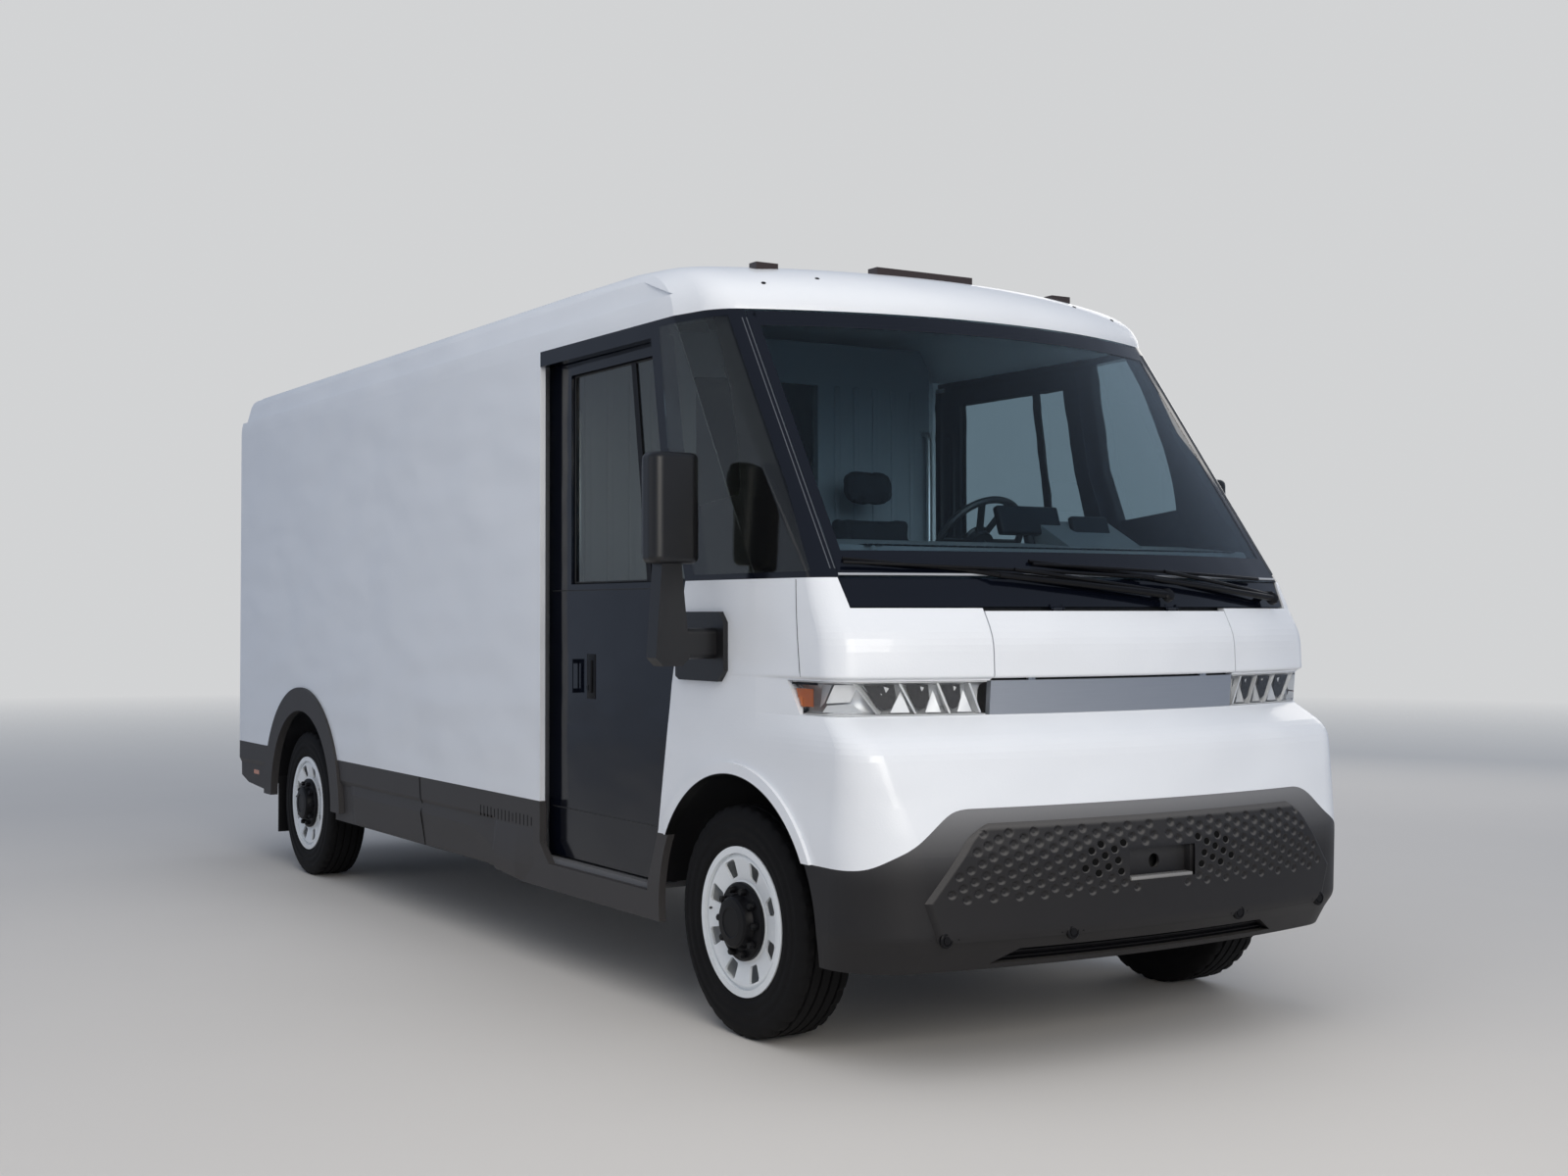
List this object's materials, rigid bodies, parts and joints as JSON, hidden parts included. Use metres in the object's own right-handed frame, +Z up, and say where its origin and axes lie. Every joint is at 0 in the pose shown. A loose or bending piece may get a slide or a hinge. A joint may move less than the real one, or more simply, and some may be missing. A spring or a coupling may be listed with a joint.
{
  "type": "walk-in electric cargo van",
  "caption": "Walk-in electric delivery van with a tall box body, deep screen, sliding side doors, lifting front lid, steered front wheels and roll-up rear door.",
  "frame": {"origin": "on the ground below the middle of the bounding box", "axes": "+Z up, -Y the way the van drives, -X the van's right side; +Y runs along the van to its rear"},
  "size_m": [2.818, 6.8403, 2.86],
  "materials": {
    "white_paint": "gloss",
    "black_gloss": "gloss",
    "dark_cladding": "matte, moulded grain",
    "black_plastic": "matte",
    "chassis_black": "satin",
    "wheel_white": "gloss",
    "tyre_rubber": "matte",
    "clear_glass": "clear",
    "lamp_lens": "clear over silvered bowl",
    "amber_lens": "gloss",
    "red_lens": "gloss",
    "silver_trim": "brushed",
    "bare_metal": "satin",
    "seat_cloth": "woven",
    "deck_grey": "matte"
  },
  "bodies": {
    "chassis": {"air_dam": "black_plastic", "battery_pack": "bare_metal", "bumper_panel": "dark_cladding", "cab_bulkhead": "deck_grey", "cab_frame": "black_gloss", "cowl_panel": "black_gloss", "dashboard": "black_plastic", "drive_unit": "bare_metal", "driver_seat": "seat_cloth", "floor_deck": "deck_grey", "front_axle_beam": "chassis_black", "front_bumper": "dark_cladding", "front_fascia": "white_paint", "grille_band": "silver_trim", "headlamps": "lamp_lens", "ladder_frame": "chassis_black", "marker_lamps": "amber_lens", "mirrors": "dark_cladding", "quarter_glasses": "clear_glass", "rear_axle_beam": "chassis_black", "rear_bumper": "dark_cladding", "rear_frame": "white_paint", "rollup_door": "white_paint", "roof_front_cap": "white_paint", "roof_shell": "white_paint", "side_walls": "white_paint", "skirts": "dark_cladding", "steering_column": "black_plastic", "tail_lamps": "red_lens", "wheel_liners": "black_plastic", "windshield": "clear_glass", "wipers": "black_plastic"},
    "hood": {"hood_lid": "white_paint"},
    "right_door": {"door_right": "black_gloss", "door_glass_right": "clear_glass"},
    "left_door": {"door_left": "black_gloss", "door_glass_left": "clear_glass"},
    "right_steer": {"knuckle_right": "chassis_black"},
    "left_steer": {"knuckle_left": "chassis_black"},
    "hand_wheel": {"steering_wheel": "black_plastic"},
    "front_right_wheel": {"tyre_front_right": "tyre_rubber", "rim_front_right": "wheel_white"},
    "front_left_wheel": {"tyre_front_left": "tyre_rubber", "rim_front_left": "wheel_white"},
    "rear_right_wheel": {"tyre_rear_right": "tyre_rubber", "rim_rear_right": "wheel_white"},
    "rear_left_wheel": {"tyre_rear_left": "tyre_rubber", "rim_rear_left": "wheel_white"}
  },
  "joints": [
    {"name": "steer_right", "type": "hinge", "parent": "chassis", "child": "right_steer", "pos_m": [-0.86, -2.469, 0.407], "axis": [0, 0, 1], "range_deg": [-35, 35]},
    {"name": "steer_left", "type": "hinge", "parent": "chassis", "child": "left_steer", "pos_m": [0.86, -2.469, 0.407], "axis": [0, 0, 1], "range_deg": [-35, 35]},
    {"name": "steering_wheel_turn", "type": "hinge", "parent": "chassis", "child": "hand_wheel", "pos_m": [0.43, -1.939, 1.79], "axis": [0, 0.8192, 0.5736], "range_deg": [-430, 430]},
    {"name": "wheel_front_right", "type": "hinge", "parent": "right_steer", "child": "front_right_wheel", "pos_m": [-0.985, -2.469, 0.407], "axis": [1, 0, 0], "continuous": true},
    {"name": "wheel_front_left", "type": "hinge", "parent": "left_steer", "child": "front_left_wheel", "pos_m": [0.985, -2.469, 0.407], "axis": [1, 0, 0], "continuous": true},
    {"name": "wheel_rear_right", "type": "hinge", "parent": "chassis", "child": "rear_right_wheel", "pos_m": [-0.985, 2.192, 0.407], "axis": [1, 0, 0], "continuous": true},
    {"name": "wheel_rear_left", "type": "hinge", "parent": "chassis", "child": "rear_left_wheel", "pos_m": [0.985, 2.192, 0.407], "axis": [1, 0, 0], "continuous": true},
    {"name": "door_slide_right", "type": "slide", "parent": "chassis", "child": "right_door", "axis": [0, 1, 0], "range_m": [0, 0.86]},
    {"name": "door_slide_left", "type": "slide", "parent": "chassis", "child": "left_door", "axis": [0, 1, 0], "range_m": [0, 0.86]},
    {"name": "hood_hinge", "type": "hinge", "parent": "chassis", "child": "hood", "pos_m": [0, -3.2, 1.507], "axis": [-1, 0, 0], "range_deg": [0, 60]}
  ],
  "couplings": [
    {"joint": "steer_left", "follows": "steer_right", "ratio": 1},
    {"joint": "steering_wheel_turn", "follows": "steer_right", "ratio": 12}
  ]
}
